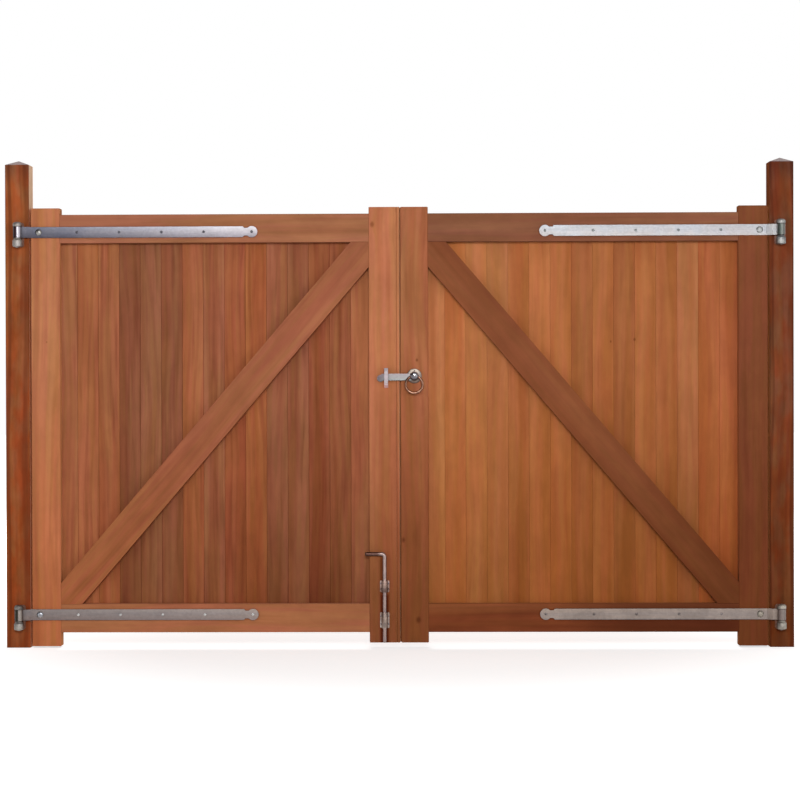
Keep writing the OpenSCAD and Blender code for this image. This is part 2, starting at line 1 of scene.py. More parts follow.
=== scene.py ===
import bpy
import bmesh
import math
import random
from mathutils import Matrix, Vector


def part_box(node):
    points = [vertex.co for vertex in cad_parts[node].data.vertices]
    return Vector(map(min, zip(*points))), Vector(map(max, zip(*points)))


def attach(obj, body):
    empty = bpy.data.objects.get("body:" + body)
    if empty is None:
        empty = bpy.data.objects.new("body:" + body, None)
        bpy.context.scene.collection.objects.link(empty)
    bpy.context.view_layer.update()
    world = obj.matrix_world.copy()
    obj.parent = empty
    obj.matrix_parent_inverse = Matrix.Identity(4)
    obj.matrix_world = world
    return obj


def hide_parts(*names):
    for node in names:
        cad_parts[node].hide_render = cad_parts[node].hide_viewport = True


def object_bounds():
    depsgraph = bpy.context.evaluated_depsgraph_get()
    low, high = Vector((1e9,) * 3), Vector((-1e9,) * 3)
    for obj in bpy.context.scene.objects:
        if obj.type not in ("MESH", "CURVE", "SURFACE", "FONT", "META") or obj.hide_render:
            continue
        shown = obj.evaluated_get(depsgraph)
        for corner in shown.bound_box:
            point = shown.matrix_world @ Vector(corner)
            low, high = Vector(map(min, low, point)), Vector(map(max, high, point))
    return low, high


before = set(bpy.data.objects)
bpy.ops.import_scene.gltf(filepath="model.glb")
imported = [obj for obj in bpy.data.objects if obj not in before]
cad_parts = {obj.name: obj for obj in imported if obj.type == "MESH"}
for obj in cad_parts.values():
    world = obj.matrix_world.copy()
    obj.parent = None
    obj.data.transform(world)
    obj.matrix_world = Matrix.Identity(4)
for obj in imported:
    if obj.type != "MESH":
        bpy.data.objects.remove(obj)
cad_low, cad_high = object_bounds()


# ---------------------------------------------------------------------------
# The two posts.
# Square posts of oiled hardwood, planed all round, with their arrises taken off
# and their tops weathered four ways. They stand in the ground and carry the hinges.
# ---------------------------------------------------------------------------

def add(tree, kind, *inputs, out=0, **settings):
    """Puts a node in the tree, feeds its inputs in order and returns one of its outputs."""
    made = tree.nodes.new("ShaderNode" + kind)
    for key, value in settings.items():
        setattr(made, key, value)
    for socket, value in zip(made.inputs, inputs):
        if isinstance(value, bpy.types.NodeSocket):
            tree.links.new(value, socket)
        elif value is not None:
            socket.default_value = value
    return made.outputs[out]


def tint(tree, share, first, second, way="MIX"):
    """Mixes two colours, or two sockets that carry colours."""
    made = tree.nodes.new("ShaderNodeMix")
    made.data_type = "RGBA"
    made.blend_type = way
    for index, value in ((0, share), (6, first), (7, second)):
        if isinstance(value, bpy.types.NodeSocket):
            tree.links.new(value, made.inputs[index])
        elif index == 0:
            made.inputs[index].default_value = value
        else:
            made.inputs[index].default_value = (*value, 1.0)
    return made.outputs[2]


def between(tree, value, low, high, to_low=0.0, to_high=1.0):
    """Spreads what lies between low and high over another span, and holds it there."""
    return add(tree, "MapRange", value, low, high, to_low, to_high, interpolation_type="SMOOTHSTEP")


def times(tree, one, other):
    """Multiplies two numbers."""
    return add(tree, "Math", one, other, operation="MULTIPLY")


def apart(tree, one, other):
    """Says how far one number lies from another."""
    return add(tree, "Math", add(tree, "Math", one, other, operation="SUBTRACT"), operation="ABSOLUTE")


def scaled(tree, place, by):
    """Draws a place out or together along X, Y and Z."""
    return add(tree, "VectorMath", place, by, operation="MULTIPLY")


def toned(tree, colour, tone):
    """Multiplies a colour by a tone."""
    return tint(tree, 1.0, colour, tone, "MULTIPLY")


def brighter(tree, colour, by):
    """Makes a colour brighter or darker by a number."""
    return toned(tree, colour, add(tree, "CombineXYZ", by, by, by))


def shade(red, green, blue):
    """A colour as the eye names it, in parts of 255, turned into the light it gives."""
    parts = (red / 255, green / 255, blue / 255)
    return tuple(part / 12.92 if part < 0.0404 else ((part + 0.055) / 1.055) ** 2.4 for part in parts)


def timber(name, pale, body, deep, lean=0.0, seed=0.0, heart=(0.0, 0.0), foot=1.0, knots=(), bands=(),
           rod_shadows=(), corner_shade=0.15, rust=(1.0, 0.9, 0.76), ends=None, side_light=None, edge=None, crown=None,
           lively=1.0, mottle=0.07, boarded=False):
    """Oiled hardwood with pale, body and deep streaks, the more of them the livelier it is.
    The grain leans from upright by lean degrees, seed says which plank it was cut from, and
    heart is where the growth rings have their middle. Toward the ground the wood is darker by
    foot and redder by rust. Boards carry their own foot, heart and tone in their corners."""
    material = bpy.data.materials.new(name)
    material.use_nodes = True
    tree = material.node_tree
    surface = tree.nodes["Principled BSDF"]
    place = add(tree, "TexCoord", out=3)
    cut = place
    if boarded:
        number = add(tree, "Attribute", out=2, attribute_name="board")
        shift = add(tree, "CombineXYZ", times(tree, number, 0.313), 0.0, times(tree, number, 1.37))
        cut = add(tree, "VectorMath", place, shift, operation="ADD")
    tilt = (0.0, math.radians(lean), 0.0)
    full = (1.0, 1.0, 1.0)
    turned = add(tree, "Mapping", cut, (seed, 0.37 * seed, 1.9 * seed), tilt, full)

    # The grain wanders a little from side to side over the length of the piece.
    sway = add(tree, "TexNoise", scaled(tree, turned, (1.6, 1.6, 0.9)), None, 1.0, 2.0, out=1)
    sway = add(tree, "VectorMath", sway, (0.5, 0.5, 0.5), operation="SUBTRACT")
    sway = scaled(tree, sway, (0.075, 0.04, 0.0))
    grain = add(tree, "VectorMath", turned, sway, operation="ADD")

    # It runs round a knot.
    for x, z, size in knots:
        away = add(tree, "VectorMath", place, (x, 0.0, z), operation="SUBTRACT")
        away = add(tree, "VectorMath", scaled(tree, away, (1.0, 0.0, 0.45)), operation="LENGTH", out=1)
        push = times(tree, between(tree, away, 0.0, 2.6 * size, 1.0, 0.0), 0.9 * size)
        grain = add(tree, "VectorMath", grain, add(tree, "CombineXYZ", push, 0.0, 0.0), operation="ADD")

    def streaks(across, along, detail, rough):
        """Streaks along the grain, so many to the metre across it and along it."""
        return add(tree, "TexNoise", scaled(tree, grain, (across, across, along)), None, 1.0, detail, rough)

    broad = streaks(19.0, 0.8, 2.0, 0.45)
    ruddy = streaks(37.0, 2.2, 2.0, 0.5)
    middle = streaks(50.0, 2.4, 2.0, 0.5)
    patchy = streaks(15.0, 7.0, 3.0, 0.6)
    fine = streaks(260.0, 12.0, 2.0, 0.6)

    # Growth rings, which show as long nested arches round the heart of the plank.
    if boarded:
        centre = add(tree, "Attribute", out=1, attribute_name="heart")
        arch = add(tree, "VectorMath", place, centre, operation="SUBTRACT")
    else:
        level = add(tree, "Mapping", place, (0.0, 0.0, 0.0), tilt, full)
        arch = add(tree, "VectorMath", level, (heart[0], 0.0, heart[1]), operation="SUBTRACT")
    arch = add(tree, "VectorMath", arch, sway, operation="ADD")
    arch = scaled(tree, arch, (1.0, 1.0, 0.06))
    rings = add(
        tree, "TexWave", arch, 11.0, 3.0, 2.0, 1.4, 0.5, 0.0, out=1, wave_type="RINGS", rings_direction="Y")

    colour = tint(tree, between(tree, broad, 0.36, 0.66), body, pale)
    colour = tint(tree, times(tree, between(tree, middle, 0.46, 0.76), 0.34 * lively), colour, deep)
    colour = tint(tree, times(tree, between(tree, rings, 0.45, 1.0), 0.12 * lively), colour, deep)
    warmth = tint(tree, between(tree, ruddy, 0.36, 0.64), (0.985, 1.035, 0.96), (1.03, 0.95, 1.04))
    colour = tint(tree, min(1.0, lively), colour, warmth, "MULTIPLY")
    uneven = between(tree, fine, 0.25, 0.75, 0.98, 1.02)
    uneven = times(tree, uneven, between(tree, patchy, 0.3, 0.7, 1.0 - mottle, 1.0 + mottle))
    colour = brighter(tree, colour, uneven)

    # A much mottled piece is rosy here and brown there.
    if mottle > 0.1:
        rosy = streaks(21.0, 9.0, 2.0, 0.5)
        rosy = tint(tree, between(tree, rosy, 0.35, 0.65), (0.96, 1.14, 1.26), (1.04, 0.87, 0.76))
        colour = toned(tree, colour, rosy)

    # The middle of a knot is dark.
    for x, z, size in knots:
        away = add(tree, "VectorMath", place, (x, 0.0, z), operation="SUBTRACT")
        away = add(tree, "VectorMath", scaled(tree, away, (1.0, 0.0, 0.75)), operation="LENGTH", out=1)
        middle_of_knot = between(tree, away, 0.25 * size, 1.1 * size, 0.75, 0.0)
        colour = tint(tree, middle_of_knot, colour, tuple(0.8 * part for part in deep))

    # Bands of darker heartwood run the whole length of some pieces.
    across = add(tree, "SeparateXYZ", add(tree, "VectorMath", place, sway, operation="ADD"), out=0)
    for middle_of_band, half, share in bands:
        off = apart(tree, across, middle_of_band)
        colour = tint(tree, between(tree, off, 0.4 * half, 1.3 * half, share, 0.0), colour, deep)

    # The length of each piece is darker here and lighter there. Toward the ground the wood is
    # redder and some pieces darker.
    drift = add(tree, "TexNoise", scaled(tree, turned, (2.3, 2.3, 1.3)), None, 1.0, 2.0)
    height = add(tree, "SeparateXYZ", place, out=2)
    if boarded:
        foot = add(tree, "Attribute", out=2, attribute_name="foot")
    tone_shift = between(tree, drift, 0.3, 0.7, 0.93, 1.07)
    tone_shift = times(tree, tone_shift, between(tree, height, 0.0, 1.3, foot, 1.0))
    colour = brighter(tree, colour, tone_shift)
    colour = tint(tree, between(tree, height, 0.1, 1.4), toned(tree, colour, rust), colour)
    if boarded:
        colour = toned(tree, colour, add(tree, "Attribute", out=1, attribute_name="tone"))

    # A rail's upper edge is rubbed pale, and under its sawn top a post has drawn more oil.
    if edge is not None:
        start_of_edge, end_of_edge, edge_tone = edge
        rubbed_edge = between(tree, height, start_of_edge, end_of_edge)
        colour = toned(tree, colour, tint(tree, rubbed_edge, full, edge_tone))
    if crown is not None:
        drawn = between(tree, height, crown - 0.11, crown)
        colour = toned(tree, colour, tint(tree, drawn, full, (0.66, 0.70, 0.89)))

    # Beside the rod that slides on the near face, the wood is painted dark on either side, as painted shadow.
    facing = add(tree, "TexCoord", out=1)
    straight = add(tree, "SeparateXYZ", place, out=0)
    near_side = between(tree, add(tree, "SeparateXYZ", facing, out=1), -0.9, -0.5, 1.0, 0.0)
    for middle_of_rod_shadow, half, low_end, high_end, share in rod_shadows:
        off = apart(tree, straight, middle_of_rod_shadow)
        stain_and_shadow = between(tree, off, 0.65 * half, 1.15 * half, share, 0.0)
        stain_and_shadow = times(tree, stain_and_shadow, between(tree, height, high_end - 0.02, high_end, 1.0, 0.0))
        stain_and_shadow = times(tree, stain_and_shadow, between(tree, height, low_end - 0.02, low_end))
        stain_and_shadow = times(tree, stain_and_shadow, near_side)
        colour = tint(tree, stain_and_shadow, colour, (0.3 * deep[0], 0.14 * deep[1], 0.1 * deep[2]))

    # Painted shade: the colour is darkened in the corners, in the joints and under the ironwork, where the
    # occlusion finds them.
    nook = add(tree, "AmbientOcclusion", (1.0, 1.0, 1.0, 1.0), 0.012, out=1, samples=8)
    painted_corner_shade = between(tree, nook, 0.1, 0.9, corner_shade, 1.0)
    colour = tint(tree, painted_corner_shade, (0.7 * deep[0], 0.42 * deep[1], 0.34 * deep[2]), colour)

    # Painted light: the side of a piece that faces one way is painted in a lit tone, and close beside the
    # next piece, where the occlusion finds shade, in a tone of its own that paints light into the gap.
    if side_light is not None:
        way, lit_side_tone, nook_light_tone = side_light
        that_side = add(tree, "VectorMath", facing, way, operation="DOT_PRODUCT", out=1)
        that_side = between(tree, that_side, 0.8, 0.95)
        side_tone = tint(tree, between(tree, nook, 0.2, 0.9), nook_light_tone, lit_side_tone)
        streaked = toned(tree, side_tone, (0.8, 0.78, 0.76))
        side_tone = tint(tree, between(tree, middle, 0.4, 0.7), side_tone, streaked)
        colour = tint(tree, that_side, colour, side_tone)

    # Sawn ends show the rings as arcs, and they drink more oil.
    facing = add(tree, "Mapping", facing, (0.0, 0.0, 0.0), tilt, full)
    end = add(tree, "Math", add(tree, "SeparateXYZ", facing, out=2), operation="ABSOLUTE")
    end = between(tree, end, 0.85 if ends else 0.6, 0.97 if ends else 0.7)
    arcs = scaled(tree, turned, (1.0, 1.0, 0.02))
    arcs = add(
        tree, "TexWave", arcs, 60.0, 1.5, 2.0, 2.0, 0.5, 0.0, out=1, wave_type="RINGS", rings_direction="Z")
    if ends is None:
        sawn = tint(tree, arcs, tuple(0.45 * part for part in deep), tuple(0.8 * part for part in body))
    else:
        sawn = tint(tree, arcs, tuple(0.7 * part for part in ends), ends)
    colour = tint(tree, end, colour, sawn)
    tree.links.new(colour, surface.inputs["Base Color"])

    tree.links.new(between(tree, middle, 0.3, 0.7, 0.8, 0.68), surface.inputs["Roughness"])
    surface.inputs["Specular IOR Level"].default_value = 0.0
    relief = add(tree, "Math", times(tree, fine, 0.6), times(tree, middle, 0.5), operation="ADD")
    bump = tree.nodes.new("ShaderNodeBump")
    bump.inputs["Strength"].default_value = 0.4
    bump.inputs["Distance"].default_value = 0.0006
    tree.links.new(relief, bump.inputs["Height"])
    tree.links.new(bump.outputs[0], surface.inputs["Normal"])
    return material


def dress(node, material, easing=0.0):
    """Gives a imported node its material, and eases its sharp edges."""
    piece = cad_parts[node]
    piece.data.materials.clear()
    piece.data.materials.append(material)
    if easing:
        weld = piece.modifiers.new("one_skin", "WELD")
        weld.merge_threshold = 0.00001
        ease = piece.modifiers.new("eased_edges", "BEVEL")
        ease.width = easing
        ease.segments = 2
        ease.limit_method = "ANGLE"
        ease.angle_limit = math.radians(25)


point_of_top = 0.02
post_tops = shade(228, 212, 212)
post_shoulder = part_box("left_post")[1].z - point_of_top
# Painted light: each post's side toward the gate is painted in lit tones, also in the gap beside the leaf;
# its corners are darkened as painted shade.
left_post_wood = timber(
    "left_post_timber", shade(160, 93, 54), shade(146, 79, 45), shade(104, 50, 30), seed=3.1,
    heart=(0.03, 0.7), foot=0.92, bands=((-0.040, 0.008, 0.6), (0.030, 0.012, 0.5)), corner_shade=0.6,
    ends=post_tops, side_light=((1.0, 0.0, 0.0), shade(248, 206, 172), shade(236, 134, 80)),
    crown=post_shoulder, mottle=0.15)
right_post_wood = timber(
    "right_post_timber", shade(124, 70, 45), shade(113, 61, 38), shade(82, 38, 24), seed=8.4,
    heart=(3.12, 1.2), foot=0.85, bands=((3.118, 0.006, 0.5), (3.206, 0.008, 0.6)), corner_shade=0.8,
    rust=(1.0, 0.88, 0.68), ends=post_tops,
    side_light=((-1.0, 0.0, 0.0), shade(124, 66, 38), shade(250, 158, 96)),
    crown=post_shoulder, mottle=0.13)
dress("left_post", left_post_wood, easing=0.0012)
dress("right_post", right_post_wood, easing=0.0012)


# ---------------------------------------------------------------------------
# The hinge plates and their pins.
# Galvanised plates screwed to the posts, each with two cups welded on that hold an
# upright steel pin. The zinc is painted duller at the corners away from the light, as painted shade.
# ---------------------------------------------------------------------------

def zinc(name, bright, dull, start=None, end=None, rough=0.42, knuckle_light=None, across=None, oiled=None,
         soft_edge=0.0, crank_light=None):
    """Hot-dip zinc. It goes from dull at x = start to bright at x = end, as painted shade and reflection,
    or is stained all over. The knuckle tones give the pin's x and the painted shade and highlight to the
    left and right of it, across the heights and tones of the lower and the upper edge as painted light and
    shade, the crank tone the painted light where a strip is cranked, and soft_edge how round its edges look.
    What lies deeper than oiled was gone over with the wood's oil."""
    material = bpy.data.materials.new(name)
    material.use_nodes = True
    tree = material.node_tree
    surface = tree.nodes["Principled BSDF"]
    place = add(tree, "TexCoord", out=3)
    spangle = add(tree, "TexVoronoi", place, None, 120.0, out=1)
    spangle = add(tree, "SeparateColor", spangle, out=0)
    stain_and_shadow = add(tree, "TexNoise", place, None, 9.0, 5.0, 0.6)
    rubbed = add(tree, "TexNoise", scaled(tree, place, (14.0, 200.0, 200.0)), None, 1.0, 3.0, 0.6)
    # Painted shade and reflection: with start and end the zinc goes dull to bright along X; without them it
    # is stained dull and bright at random.
    if start is None:
        shine = between(tree, stain_and_shadow, 0.35, 0.65)
    else:
        run = add(tree, "SeparateXYZ", place, out=0)
        run = add(tree, "MapRange", run, start, end, 0.0, 1.0)
        clouds = times(tree, add(tree, "Math", stain_and_shadow, 0.5, operation="SUBTRACT"), 0.9)
        shine = add(tree, "Math", run, clouds, operation="ADD", use_clamp=True)
    colour = tint(tree, shine, dull, bright)
    flecks = between(tree, spangle, 0.0, 1.0, 0.94, 1.04)
    flecks = times(tree, flecks, between(tree, rubbed, 0.3, 0.7, 0.94, 1.04))
    colour = brighter(tree, colour, flecks)

    # Painted sheen: faint bands along the strip, cold and warm by turns.
    sheen_bands = add(tree, "TexNoise", scaled(tree, place, (0.6, 34.0, 34.0)), None, 1.0, 1.0, 0.5)
    sheen_bands = tint(tree, between(tree, sheen_bands, 0.36, 0.64), (0.93, 0.95, 0.99), (1.04, 1.02, 1.0))
    colour = toned(tree, colour, sheen_bands)
    roughness = between(tree, stain_and_shadow, 0.3, 0.7, rough - 0.06, rough + 0.08)
    # Painted light and shade: the lower and the upper edge have tones of their own, blended over the height.
    if across is not None:
        lower, upper, below, above = across
        rise = add(tree, "MapRange", add(tree, "SeparateXYZ", place, out=2), lower, upper, 0.0, 1.0)
        colour = toned(tree, colour, tint(tree, rise, below, above))
    # Painted light: the faces turned aside where a strip is cranked are toned, lighter on some straps.
    if crank_light is not None:
        slope = add(tree, "SeparateXYZ", add(tree, "TexCoord", out=1), out=0)
        slope = between(tree, add(tree, "Math", slope, operation="ABSOLUTE"), 0.1, 0.3)
        colour = tint(tree, slope, colour, toned(tree, colour, crank_light))
    # Painted shade and highlight: the knuckle is toned dark to one side of its pin and bright to the other.
    if knuckle_light is not None:
        pin, left_tone, right_tone = knuckle_light
        off = add(tree, "Math", add(tree, "SeparateXYZ", place, out=0), pin, operation="SUBTRACT")
        knuckle = between(tree, add(tree, "Math", off, operation="ABSOLUTE"), 0.013, 0.017, 1.0, 0.0)
        tone_shift = tint(tree, between(tree, off, -0.003, 0.003), left_tone, right_tone)
        colour = tint(tree, knuckle, colour, tone_shift)
        roughness = add(tree, "MapRange", knuckle, 0.0, 1.0, roughness, 0.4)
    if oiled is not None:
        deeper = between(tree, add(tree, "SeparateXYZ", place, out=1), oiled - 0.0015, oiled)
        colour = tint(tree, deeper, colour, shade(104, 66, 50))
        tree.links.new(add(tree, "MapRange", deeper, 0.0, 1.0, 1.0, 0.3), surface.inputs["Metallic"])
    else:
        surface.inputs["Metallic"].default_value = 1.0
    tree.links.new(colour, surface.inputs["Base Color"])
    tree.links.new(roughness, surface.inputs["Roughness"])
    bump = tree.nodes.new("ShaderNodeBump")
    bump.inputs["Strength"].default_value = 0.35
    bump.inputs["Distance"].default_value = 0.0003
    tree.links.new(rubbed, bump.inputs["Height"])
    if soft_edge:
        tree.links.new(add(tree, "Bevel", soft_edge, samples=4), bump.inputs["Normal"])
    tree.links.new(bump.outputs[0], surface.inputs["Normal"])
    return material


plate_thickness = 0.006
plate_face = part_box("left_post")[0].y - plate_thickness
# Each corner's cups have their own bright and dull zinc, lit and shaded copies: painted light and shade.
cup_tones = {
    "left_top": (shade(158, 152, 146), shade(104, 94, 88)),
    "left_bottom": (shade(152, 148, 142), shade(98, 92, 86)),
    "right_top": (shade(174, 175, 172), shade(116, 116, 116)),
    "right_bottom": (shade(166, 160, 148), shade(112, 104, 96)),
}
pin_zinc = zinc("zinc_of_the_pins", shade(158, 154, 150), shade(92, 84, 80), rough=0.3)
for corner, (bright, dull) in cup_tones.items():
    cup_zinc = zinc(f"zinc_of_the_{corner}_cups", bright, dull, rough=0.5, oiled=plate_face)
    dress(corner + "_hinge_plate", cup_zinc, easing=0.0006)
    dress(corner + "_hinge_pin", pin_zinc)


# ---------------------------------------------------------------------------
# The frames of the two leaves.
# Stiles, rails and a brace of oiled hardwood, the rails tenoned right through the stiles.
# Bottom rail and brace are thinner, with the boards behind them. The right frame is darker.
# ---------------------------------------------------------------------------

# Each piece's pale, body and deep tones, the grain's lean, its plank, the middle of its rings
# in X and Z, and how dark its foot is.
left_frame_looks = {
    "left_hinge_stile": (
        shade(190, 124, 86), shade(182, 114, 75), shade(152, 90, 60), 0.0, 1.0, (0.24, 0.2), 0.92),
    "left_meeting_stile": (
        shade(188, 122, 86), shade(178, 111, 75), shade(146, 82, 50), 0.0, 2.2, (1.42, 1.1), 0.5),
    "left_top_rail": (
        shade(168, 110, 80), shade(157, 101, 71), shade(128, 78, 54), 90.0, 3.7, (1.7, -0.9), 1.0),
    "left_bottom_rail": (
        shade(174, 117, 88), shade(164, 107, 80), shade(134, 80, 56), 90.0, 4.9, (0.13, -0.7), 1.0),
    "left_brace": (
        shade(161, 101, 71), shade(153, 93, 65), shade(126, 71, 49), -40.5, 6.1, (0.0, 0.9), 1.02),
}
right_frame_looks = {
    "right_hinge_stile": (
        shade(124, 71, 46), shade(121, 69, 44), shade(98, 52, 32), 0.0, 7.3, (2.92, 0.9), 0.82),
    "right_meeting_stile": (
        shade(174, 111, 76), shade(166, 101, 66), shade(128, 72, 44), 0.0, 8.9, (1.56, 0.3), 0.52),
    "right_top_rail": (
        shade(138, 90, 66), shade(128, 80, 58), shade(102, 58, 44), 90.0, 9.7, (1.75, -2.3), 1.0),
    "right_bottom_rail": (
        shade(124, 69, 45), shade(110, 60, 38), shade(76, 37, 25), 90.0, 11.3, (0.1, -2.2), 1.0),
    "right_brace": (
        shade(138, 83, 54), shade(130, 75, 48), shade(102, 54, 34), 40.5, 12.9, (1.9, 0.9), 0.6),
}
bolt_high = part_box("drop_bolt")[1]
bolt_radius = 0.008
bolt_shank = bolt_high.x - bolt_radius
upper_staple_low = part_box("upper_bolt_staple")[0].z
lower_staple_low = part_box("lower_bolt_staple")[0].z
right_rail_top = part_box("right_bottom_rail")[1].z

# What else marks a piece: knots (x, z, size), bands of heartwood (x, half width, share), painted
# shadows beside a rod, and the tones of its nooks (painted shade), its edges and its sides (painted light).
marks_of = {
    "left_hinge_stile": dict(
        knots=((0.122, 1.269, 0.004),), bands=((0.071, 0.014, 0.4),), corner_shade=0.7,
        side_light=((1.0, 0.0, 0.0), shade(208, 142, 96), shade(214, 146, 100))),
    "right_hinge_stile": dict(
        corner_shade=0.8,
        side_light=((-1.0, 0.0, 0.0), shade(158, 98, 64), shade(162, 98, 62))),
    "left_meeting_stile": dict(
        knots=((1.474, 1.752, 0.012),), corner_shade=1.0,
        # Painted shadow of the drop bolt on the stile, beside its rod.
        rod_shadows=(
            (bolt_shank - 0.006, 0.014, upper_staple_low, bolt_high.z - 0.012, 0.55),
            (bolt_shank - 0.001, 0.019, 0.0, upper_staple_low, 0.9)),
        side_light=((1.0, 0.0, 0.0), shade(214, 146, 104), shade(255, 218, 180))),
    "right_meeting_stile": dict(
        knots=((1.662, 0.114, 0.014), (1.6, 0.445, 0.01), (1.658, 1.19, 0.007)), corner_shade=1.0,
        side_light=((-1.0, 0.0, 0.0), shade(214, 146, 104), shade(255, 218, 180))),
    "right_top_rail": dict(lively=0.7),
    "left_bottom_rail": dict(side_light=((0.0, 0.0, 1.0), shade(190, 125, 92), shade(190, 125, 92))),
    "right_bottom_rail": dict(
        bands=((2.75, 0.42, 0.75),), lively=0.6,
        edge=(right_rail_top - 0.05, right_rail_top - 0.008, (1.4, 1.65, 1.7)),
        side_light=((0.0, 0.0, 1.0), shade(150, 94, 60), shade(150, 94, 60))),
    "right_brace": dict(lively=0.45),
}
for looks in (left_frame_looks, right_frame_looks):
    for node, (pale, body, deep, lean, seed, heart, foot) in looks.items():
        wood = timber(node + "_timber", pale, body, deep, lean, seed, heart, foot, **marks_of.get(node, {}))
        dress(node, wood, easing=0.0 if "hinge" in node else 0.0008)


# ---------------------------------------------------------------------------
# The boards of the two leaves.
# Fifteen tongued and grooved boards to a leaf, V-jointed on both faces and let into
# the stiles and the top rail. No two come from one plank, so their tones differ.
# ---------------------------------------------------------------------------

boards_to_a_leaf = 15
first_numbers = {"left": 0, "right": 20}
steps_up = 12
board_cover = 0.0876
joint_gap = 0.0004
vees = {"left": 0.0012, "right": 0.0007}
first_covers = {"left": 0.066, "right": 0.074}
arris, round_off, hollow = 0.0004, 0.0006, 0.0002
bow, bow_turn = 0.00025, 2.2
groove_half, groove_depth = 0.0034, 0.0084
tongue_root, tongue_tip, tongue_length = 0.003, 0.002, 0.008
random_boards = random.Random(15)

# How the boards look, from the hinge side to the middle of the gate: a tone and a hue for each.
tones = {"dark": 0.63, "dim": 0.75, "mild": 0.84, "plain": 0.92, "pale": 1.02, "light": 1.14}
hues = {
    "rosy": (1.0, 1.06, 1.18), "brown": (1.0, 1.0, 1.0), "golden": (1.01, 0.96, 0.86),
    "ruddy": (1.03, 0.92, 0.95), "dusty": (1.0, 1.12, 1.24)}
board_sorts = {
    "left": (
        "pale dusty, pale brown, plain brown, dark rosy, dim dusty, dim rosy, pale brown, plain rosy, "
        "plain ruddy, pale golden, mild rosy, mild rosy, dim ruddy, mild brown, light rosy"),
    "right": (
        "plain ruddy, plain ruddy, plain rosy, plain brown, plain brown, dim brown, plain brown, mild brown, "
        "pale brown, pale brown, plain brown, pale dusty, light dusty, light brown, light dusty"),
}
# The left leaf's boards are darker at the foot toward the middle of the gate.
feet = {"left": (1.0, 0.56), "right": (0.76, 0.72)}


def board_outline(x0, x1, y0, y1, vee, grooved, tongued):
    """One board cut across, with V-jointed arrises, a groove in one edge and a tongue on the other."""
    mid = (y0 + y1) / 2
    v0 = vee if grooved else arris
    v1 = vee if tongued else arris
    points = [(x0 + v0 + round_off, y0), (x0 + v0 - arris, y0 + arris), (x0, y0 + v0)]
    if grooved:
        bottom = x0 + groove_depth
        points += [(x0, mid - groove_half), (bottom, mid - groove_half)]
        points += [(bottom, mid + groove_half), (x0, mid + groove_half)]
    points += [(x0, y1 - v0), (x0 + v0 - arris, y1 - arris), (x0 + v0 + round_off, y1)]
    for share in (0.25, 0.5, 0.75):
        points.append((x0 + (x1 - x0) * share, y1 - hollow * math.sin(math.pi * share)))
    points += [(x1 - v1 - round_off, y1), (x1 - v1 + arris, y1 - arris), (x1, y1 - v1)]
    if tongued:
        tip = x1 + tongue_length
        points += [(x1, mid + tongue_root), (tip, mid + tongue_tip)]
        points += [(tip, mid - tongue_tip), (x1, mid - tongue_root)]
    points += [(x1, y0 + v1), (x1 - v1 + arris, y0 + arris), (x1 - v1 - round_off, y0)]
    for share in (0.75, 0.5, 0.25):
        points.append((x0 + (x1 - x0) * share, y0 + hollow * math.sin(math.pi * share)))
    return points


